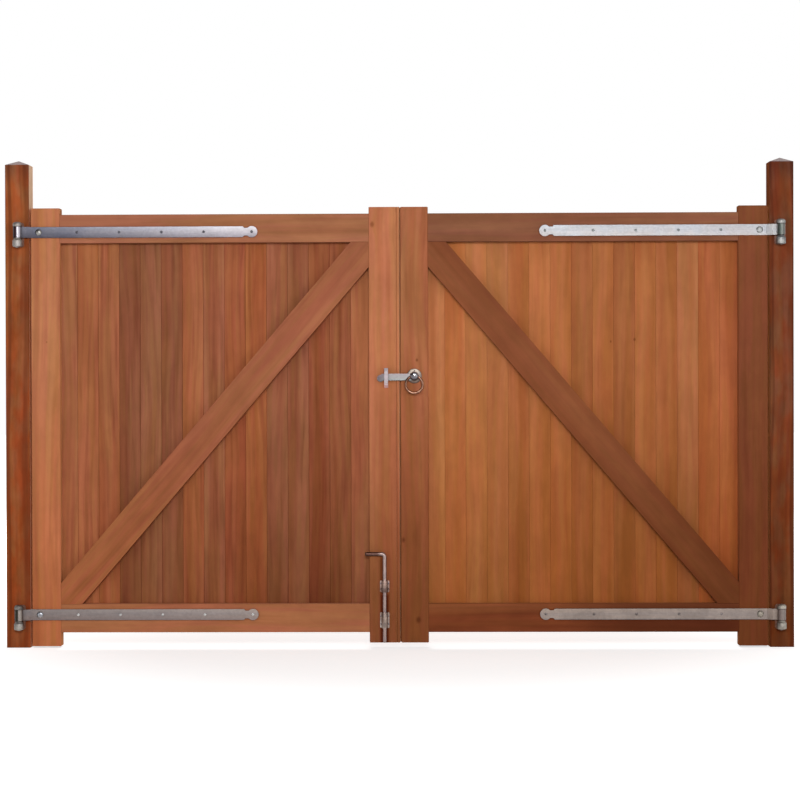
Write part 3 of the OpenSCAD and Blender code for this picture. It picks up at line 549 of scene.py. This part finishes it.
for side in ("left", "right"):
    low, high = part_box(side + "_boards")
    stile_low, stile_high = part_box(side + "_hinge_stile")
    facing = 1 if side == "left" else -1
    stile_edge = stile_high.x if side == "left" else stile_low.x
    mesh = bmesh.new()
    board_layer = mesh.verts.layers.float.new("board")
    foot_layer = mesh.verts.layers.float.new("foot")
    tone_layer = mesh.verts.layers.float_vector.new("tone")
    heart_layer = mesh.verts.layers.float_vector.new("heart")
    sorts = board_sorts[side].split(", ")
    for count in range(boards_to_a_leaf):
        start = first_covers[side] + (count - 1) * board_cover + joint_gap / 2
        stop = first_covers[side] + count * board_cover - joint_gap / 2
        x0, x1 = stile_edge + facing * start, stile_edge + facing * stop
        if count == 0:
            x0 = low.x if side == "left" else high.x
        last = count == boards_to_a_leaf - 1
        if last:
            x1 = high.x if side == "left" else low.x
        outline = board_outline(0.0, abs(x1 - x0), low.y, high.y, vees[side], count > 0, not last)
        name_of_tone, name_of_hue = sorts[count].split()
        tone = Vector(hues[name_of_hue]) * tones[name_of_tone] * random_boards.uniform(0.98, 1.02)
        foot = feet[side][0] + (feet[side][1] - feet[side][0]) * count / (boards_to_a_leaf - 1)
        heart_x = x0 + facing * random_boards.uniform(-0.06, 0.15)
        heart = Vector((heart_x, 0.0, random_boards.uniform(0.1, 1.6)))
        rows = []
        for step in range(steps_up + 1):
            z = low.z + (high.z - low.z) * step / steps_up
            lean = bow * math.sin(bow_turn * z + count) if 0 < step < steps_up else 0.0
            row = []
            for across, through in outline:
                corner = mesh.verts.new((x0 + facing * across, through + lean, z))
                corner[board_layer] = first_numbers[side] + count
                corner[foot_layer] = foot
                corner[tone_layer] = tone
                corner[heart_layer] = heart
                row.append(corner)
            rows.append(row)
        for below, above in zip(rows, rows[1:]):
            for one in range(len(outline)):
                two = (one + 1) % len(outline)
                mesh.faces.new((below[one], below[two], above[two], above[one]))
        mesh.faces.new(rows[0])
        mesh.faces.new(rows[-1])
    bmesh.ops.recalc_face_normals(mesh, faces=mesh.faces)
    data = bpy.data.meshes.new(side + "_boarding")
    mesh.to_mesh(data)
    mesh.free()
    boarding = bpy.data.objects.new(side + "_boarding", data)
    bpy.context.scene.collection.objects.link(boarding)
    if side == "left":
        wood = timber(
            "left_board_timber", shade(169, 105, 71), shade(157, 93, 59), shade(120, 61, 40), seed=20.5,
            corner_shade=0.6, rust=(1.0, 0.945, 0.87), lively=1.35, boarded=True)
    else:
        wood = timber(
            "right_board_timber", shade(178, 110, 68), shade(168, 100, 57), shade(136, 76, 42), seed=31.5,
            knots=((2.561, 1.273, 0.007), (2.462, 1.265, 0.005)), corner_shade=1.0, rust=(1.0, 0.91, 0.72),
            lively=0.75, boarded=True)
    data.materials.append(wood)
    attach(boarding, side + "_leaf")
    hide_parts(side + "_boards")


# ---------------------------------------------------------------------------
# The strap hinges and what holds them.
# Flat galvanised straps, rolled round the pins and cranked on to the leaf. A coach
# bolt goes through stile and tenon to a nut on the far side, and five screws follow.
# ---------------------------------------------------------------------------

def skin(mesh, rows):
    """Closes the space between rows of corners that run round a piece; a row of one corner is a tip."""
    sides = max(len(row) for row in rows)
    for first, second in zip(rows, rows[1:]):
        for k in range(sides):
            j = (k + 1) % sides
            corners = [first[k % len(first)], first[j % len(first)]]
            corners += [second[j % len(second)], second[k % len(second)]]
            mesh.faces.new(list(dict.fromkeys(corners)))


def turn_up(mesh, outline, centre, outward=-1, sides=32):
    """Turns a round piece from its outline of (radius, height) pairs, standing out along Y from centre."""
    rows = []
    for radius, rise in outline:
        y = centre[1] + outward * rise
        row = []
        for k in range(sides if radius else 1):
            angle = 2 * math.pi * k / sides
            x = centre[0] + radius * math.cos(angle)
            row.append(mesh.verts.new((x, y, centre[2] + radius * math.sin(angle))))
        rows.append(row)
    skin(mesh, rows)


def screw_head(mesh, centre, radius, rise, turn, outward=-1):
    """A round-headed screw with a cross recess."""
    rings, sides, fullness = 9, 32, 2.6
    recess_half, recess_reach, recess_depth = radius * 0.13, radius * 0.55, 0.45 * rise
    rows = []
    for ring in range(rings + 1):
        r = radius * ring / rings
        row = []
        for k in range(sides if ring else 1):
            angle = 2 * math.pi * k / sides
            a, b = r * math.cos(angle - turn), r * math.sin(angle - turn)
            recessed = min(abs(a), abs(b)) < recess_half and max(abs(a), abs(b)) < recess_reach
            dome = rise * math.sqrt(max(0.0, 1 - (ring / rings) ** fullness))
            y = dome - (recess_depth if recessed else 0.0)
            x = centre[0] + r * math.cos(angle)
            row.append(mesh.verts.new((x, centre[1] + outward * y, centre[2] + r * math.sin(angle))))
        rows.append(row)
    skin(mesh, rows)


def finish_piece(name, mesh, body, material):
    """Makes the mesh a piece of the gate that rides on a body, smooth but for its corners."""
    bmesh.ops.recalc_face_normals(mesh, faces=mesh.faces)
    data = bpy.data.meshes.new(name)
    for face in mesh.faces:
        face.smooth = True
    mesh.to_mesh(data)
    mesh.free()
    data.set_sharp_from_angle(angle=math.radians(34))
    piece = bpy.data.objects.new(name, data)
    bpy.context.scene.collection.objects.link(piece)
    data.materials.append(material)
    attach(piece, body)
    return piece


# Bright and dull zinc, where dull ends and bright starts, the tones of the lower and the upper
# edge, of the knuckle to the left and to the right of its pin, and of the crank: painted light
# and shade, set apart for each strap as it is lit.
strap_zincs = {
    "left_top": (
        shade(168, 166, 168), shade(88, 90, 100), 0.1, 0.95, (0.58, 0.52, 0.54), (1.36, 1.34, 1.36),
        shade(52, 38, 42), shade(160, 156, 164), (1.0, 1.0, 1.0)),
    "left_bottom": (
        shade(136, 130, 128), shade(112, 108, 109), 0.0, 1.1, (0.9, 0.78, 0.74), (1.24, 1.16, 1.08),
        shade(48, 46, 40), shade(134, 126, 120), (1.0, 1.0, 1.0)),
    "right_top": (
        shade(166, 164, 164), shade(144, 146, 149), None, None, (1.1, 1.04, 1.0), (1.0, 1.0, 1.0),
        shade(68, 74, 70), shade(100, 102, 98), (1.5, 1.48, 1.45)),
    "right_bottom": (
        shade(138, 129, 124), shade(118, 110, 106), None, None, (0.96, 0.92, 0.9), (1.14, 1.08, 1.02),
        shade(112, 100, 96), shade(116, 106, 102), (1.16, 1.15, 1.14)),
}
# The screws and the coach bolt of each strap: their zinc, painted lighter or darker for each strap as it is
# lit, and how rough it is.
head_tones = {
    "left_top": (shade(104, 102, 108), shade(66, 64, 70), shade(158, 156, 152), 0.34),
    "left_bottom": (shade(240, 238, 232), shade(190, 188, 184), shade(196, 196, 200), 0.34),
    "right_top": (shade(152, 154, 152), shade(114, 118, 116), shade(206, 206, 202), 0.6),
    "right_bottom": (shade(140, 130, 126), shade(112, 102, 98), shade(164, 156, 144), 0.55),
}
screw_zinc = zinc("zinc_of_the_small_screws", shade(134, 132, 140), shade(84, 82, 90), rough=0.34)
strap_reach, strap_thickness = 0.992, 0.007
coach_from_pin = 0.084
first_screw, screw_step, tip_screw = 0.243, 0.1755, strap_reach - 0.0235
screw_radius, screw_rise, screw_sink = 0.0058, 0.0028, 0.0004

# The coach bolt's domed head, its washer, its end and its nut, as pairs of radius and height.
head_outline = [
    (0.0138, -0.0004), (0.0138, 0.0008), (0.0130, 0.0024), (0.0108, 0.0046), (0.0074, 0.0061),
    (0.0034, 0.0068), (0, 0.007)]
washer_outline = [(0.015, -0.0002), (0.015, 0.0016), (0.0144, 0.0022), (0.006, 0.0022)]
end_outline = [(0.0052, 0.0), (0.0052, 0.0145), (0.0040, 0.0158), (0, 0.0158)]
nut_outline = [(0.0098, 0.0022), (0.0098, 0.0092), (0.0086, 0.0104), (0.005, 0.0104)]

for side in ("left", "right"):
    for level in ("top", "bottom"):
        strap = f"{side}_{level}_strap"
        low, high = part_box(strap)
        stile_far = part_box(side + "_hinge_stile")[1].y
        away = 1 if side == "left" else -1
        pin_x = high.x - strap_reach if side == "left" else low.x + strap_reach
        bright, dull, start, end, below, above, left_tone, right_tone, crank_light = strap_zincs[f"{side}_{level}"]
        metal = zinc(
            f"zinc_of_the_{strap}", bright, dull, start, end, rough=0.54,
            knuckle_light=(pin_x, left_tone, right_tone), across=(low.z, high.z, below, above),
            soft_edge=0.0015, crank_light=crank_light)
        dress(strap, metal)
        screw_bright, screw_dull, bolt_bright, bolt_rough = head_tones[f"{side}_{level}"]
        screw_metal = zinc(f"zinc_of_the_{strap}_screws", screw_bright, screw_dull, rough=0.5)
        bolt_dull = tuple(0.42 * part for part in bolt_bright)
        bolt_metal = zinc(f"zinc_of_the_{strap}_bolt", bolt_bright, bolt_dull, rough=bolt_rough)
        middle = (low.z + high.z) / 2
        face = high.y - strap_thickness

        heads = bmesh.new()
        spots = [first_screw + n * screw_step for n in range(4)] + [tip_screw]
        for n, spot in enumerate(spots):
            seat = (pin_x + away * spot, face + screw_sink, middle)
            screw_head(heads, seat, screw_radius, screw_rise, 0.5 + 0.9 * n)
        finish_piece(strap + "_screws", heads, side + "_leaf", screw_metal)

        bolt = bmesh.new()
        x = pin_x + away * coach_from_pin
        turn_up(bolt, head_outline, (x, face, middle))
        turn_up(bolt, washer_outline, (x, stile_far, middle), 1)
        turn_up(bolt, end_outline, (x, stile_far, middle), 1)
        turn_up(bolt, nut_outline, (x, stile_far, middle), 1, 6)
        finish_piece(strap + "_coach_bolt", bolt, side + "_leaf", bolt_metal)


# ---------------------------------------------------------------------------
# The ring latch and its keep.
# Cast and galvanised: a spindle with a domed boss at each end, roses screwed to the
# stile, a flat bar on the near side and a ring to each boss. The keep is hooked plate.
# ---------------------------------------------------------------------------

rose_low, rose_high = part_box("inner_rose")
keep_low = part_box("latch_keep")[0]
# The keep is painted light toward its foot, the rose light on top and dark below, and the bar dark toward its
# tip with toned edges: painted light and shade.
keep_zinc = zinc(
    "zinc_of_the_latch_keep", shade(160, 148, 150), shade(126, 116, 118), rough=0.5,
    across=(keep_low.z + 0.006, keep_low.z + 0.024, (2.6, 2.4, 2.4), (1.0, 1.0, 0.98)))
bar_low, bar_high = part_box("latch_bar")
bar_zinc = zinc(
    "zinc_of_the_latch_bar", shade(122, 118, 118), shade(88, 78, 82), bar_low.x + 0.01, bar_low.x + 0.06,
    rough=0.42, across=(bar_low.z, bar_high.z, (0.88, 1.0, 0.95), (1.08, 0.94, 0.94)))
rose_zinc = zinc(
    "zinc_of_the_roses", shade(142, 134, 130), shade(120, 110, 106), rough=0.42,
    across=(rose_low.z, rose_high.z, (0.5, 0.4, 0.36), (1.35, 1.33, 1.2)))
boss_zinc = zinc("zinc_of_the_bosses", shade(140, 142, 146), shade(96, 92, 96), rough=0.22)
ring_zinc = zinc("zinc_of_the_rings", shade(186, 148, 128), shade(112, 78, 62), rough=0.24)
for node, metal in (
        ("latch_keep", keep_zinc), ("latch_bar", bar_zinc), ("latch_spindle", boss_zinc),
        ("inner_rose", rose_zinc), ("outer_rose", rose_zinc)):
    dress(node, metal, easing=0.0005)
for node in ("inner_ring", "outer_ring"):
    dress(node, ring_zinc)

rose_middle = (rose_low + rose_high) / 2
rose_screw_circle, rose_screw, rose_screw_rise, small_sink = 0.0215, 0.003, 0.0014, 0.0003
for node, y, outward in (("inner_rose", rose_low.y, -1), ("outer_rose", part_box("outer_rose")[1].y, 1)):
    heads = bmesh.new()
    for n in range(3):
        angle = math.radians(90 + 120 * n)
        x = rose_middle.x + rose_screw_circle * math.cos(angle)
        z = rose_middle.z + rose_screw_circle * math.sin(angle)
        screw_head(heads, (x, y - outward * small_sink, z), rose_screw, rose_screw_rise, 0.4 * n, outward)
    finish_piece(node + "_screws", heads, "right_leaf", screw_zinc)


# ---------------------------------------------------------------------------
# The drop bolt and its staples.
# A round galvanised bar, bent over at the top for a handle and pointed at the foot.
# It slides in two staples that are screwed to the left meeting stile.
# ---------------------------------------------------------------------------

# The drop bolt is painted dark toward its handle, and the staples lighter below and darker above: painted
# shade and light.
bolt_zinc = zinc(
    "zinc_of_the_drop_bolt", shade(150, 132, 128), shade(82, 58, 52), bolt_shank - 0.03, bolt_shank - 0.008,
    rough=0.34)
staple_zinc = zinc(
    "zinc_of_the_staples", shade(172, 154, 144), shade(114, 94, 86), rough=0.45,
    across=(lower_staple_low, upper_staple_low + 0.05, (1.1, 1.2, 1.2), (0.85, 0.78, 0.78)))
staple_thickness, ear_middle = 0.004, 0.0037
staple_screw, staple_screw_rise = 0.0029, 0.0016
dress("drop_bolt", bolt_zinc)
for node in ("upper_bolt_staple", "lower_bolt_staple"):
    dress(node, staple_zinc, easing=0.0005)
    low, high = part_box(node)
    heads = bmesh.new()
    for n, (across, up) in enumerate(((0, 0.25), (0, 0.75), (1, 0.25), (1, 0.75))):
        x = low.x + ear_middle if across == 0 else high.x - ear_middle
        seat = (x, high.y - staple_thickness + small_sink, low.z + up * (high.z - low.z))
        screw_head(heads, seat, staple_screw, staple_screw_rise, 0.7 * n)
    finish_piece(node + "_screws", heads, "left_leaf", screw_zinc)


# ---------------------------------------------------------------------------
# The studio.
# A white floor and a white surround, soft light from the front and above with a little
# more from each side, and the camera level with the latch, square to the gate.
# ---------------------------------------------------------------------------

gate_middle = (cad_low + cad_high) / 2

floor_level = cad_low.z - 0.0006
floor_sides = 32
floor_mesh = bmesh.new()
rings_of_floor = []
for reach in (0.0, 1.0, 2.0, 3.0, 4.5, 7.0, 14.0, 40.0):
    ring = []
    for k in range(floor_sides if reach else 1):
        angle = 2 * math.pi * k / floor_sides
        x = gate_middle.x + reach * math.cos(angle)
        ring.append(floor_mesh.verts.new((x, reach * math.sin(angle), floor_level)))
    rings_of_floor.append(ring)
skin(floor_mesh, rings_of_floor)
floor_data = bpy.data.meshes.new("studio_floor")
floor_mesh.to_mesh(floor_data)
floor_mesh.free()
floor = bpy.data.objects.new("studio_floor", floor_data)
bpy.context.scene.collection.objects.link(floor)


def looked_at(tree, rays):
    """Is 1 where the camera looks, also by way of metal or glass, and 0 for light on the gate."""
    straight, mirrored = rays.outputs["Is Camera Ray"], rays.outputs["Is Glossy Ray"]
    seen = add(tree, "Math", straight, mirrored, operation="MAXIMUM")
    return add(tree, "Math", seen, rays.outputs["Is Transmission Ray"], operation="MAXIMUM")


floor_paint = bpy.data.materials.new("studio_white")
floor_paint.use_nodes = True
tree = floor_paint.node_tree
tree.nodes.remove(tree.nodes["Principled BSDF"])
seen = looked_at(tree, tree.nodes.new("ShaderNodeLightPath"))
matt = add(tree, "BsdfDiffuse", (0.82, 0.82, 0.82, 1.0))
from_middle = (gate_middle.x, 0.0, 0.0)
far_off = add(tree, "VectorMath", add(tree, "TexCoord", out=3), from_middle, operation="SUBTRACT")
far_off = between(tree, add(tree, "VectorMath", far_off, operation="LENGTH", out=1), 0.8, 3.0, 0.5, 0.9)
glow = add(tree, "Emission", (1.0, 1.0, 1.0, 1.0), times(tree, seen, far_off))
tree.links.new(add(tree, "AddShader", matt, glow), tree.nodes["Material Output"].inputs["Surface"])
floor_data.materials.append(floor_paint)

world = bpy.data.worlds.new("studio_surround")
bpy.context.scene.world = world
world.use_nodes = True
tree = world.node_tree
rays = tree.nodes.new("ShaderNodeLightPath")
seen = looked_at(tree, rays)
backdrop = tree.nodes["Background"]
backdrop.inputs["Color"].default_value = (1.0, 1.0, 1.0, 1.0)
# The room in front of the gate is dimmer to the left, which the ironwork shows; the rest is white.
sight = add(tree, "TexCoord", out=0)
sideways = between(tree, add(tree, "SeparateXYZ", sight, out=0), -0.6, 0.4, 0.15, 0.85)
front = between(tree, add(tree, "SeparateXYZ", sight, out=1), -0.15, 0.15)
room = add(tree, "MapRange", front, 0.0, 1.0, sideways, 1.0)
room = add(tree, "MapRange", rays.outputs["Is Glossy Ray"], 0.0, 1.0, 1.0, room)
tree.links.new(add(tree, "MapRange", seen, 0.0, 1.0, 0.36, room), backdrop.inputs["Strength"])


def softbox(name, place, aim, width, height, power):
    """A soft square lamp that looks at a point."""
    lamp = bpy.data.lights.new(name, "AREA")
    lamp.shape = "RECTANGLE"
    lamp.size, lamp.size_y, lamp.energy = width, height, power
    made = bpy.data.objects.new(name, lamp)
    made.location = place
    made.rotation_euler = (Vector(aim) - Vector(place)).to_track_quat("-Z", "Y").to_euler()
    bpy.context.scene.collection.objects.link(made)


softbox("lamp_front", (gate_middle.x + 0.4, -10.5, 3.6), (gate_middle.x, 0.0, 0.9), 3.4, 1.8, 500)
softbox("lamp_right", (gate_middle.x + 6.0, -5.6, 1.8), (gate_middle.x + 0.4, 0.0, 0.9), 2.4, 2.4, 80)
softbox("lamp_left", (gate_middle.x - 6.0, -5.6, 1.8), (gate_middle.x - 0.4, 0.0, 0.9), 2.4, 2.4, 60)
softbox("lamp_behind", (gate_middle.x - 0.6, 9.0, 4.6), (gate_middle.x, 0.0, 0.9), 4.0, 2.0, 500)

camera_data = bpy.data.cameras.new("camera")
camera_data.sensor_width = 36.0
camera_data.lens = 101.54
camera = bpy.data.objects.new("camera", camera_data)
camera.location = (1.7494, -9.3891, 1.0956)
camera.rotation_euler = (math.radians(89.566), math.radians(0.170), math.radians(0.991))
bpy.context.scene.collection.objects.link(camera)
bpy.context.scene.camera = camera
bpy.context.scene.view_settings.view_transform = "Standard"
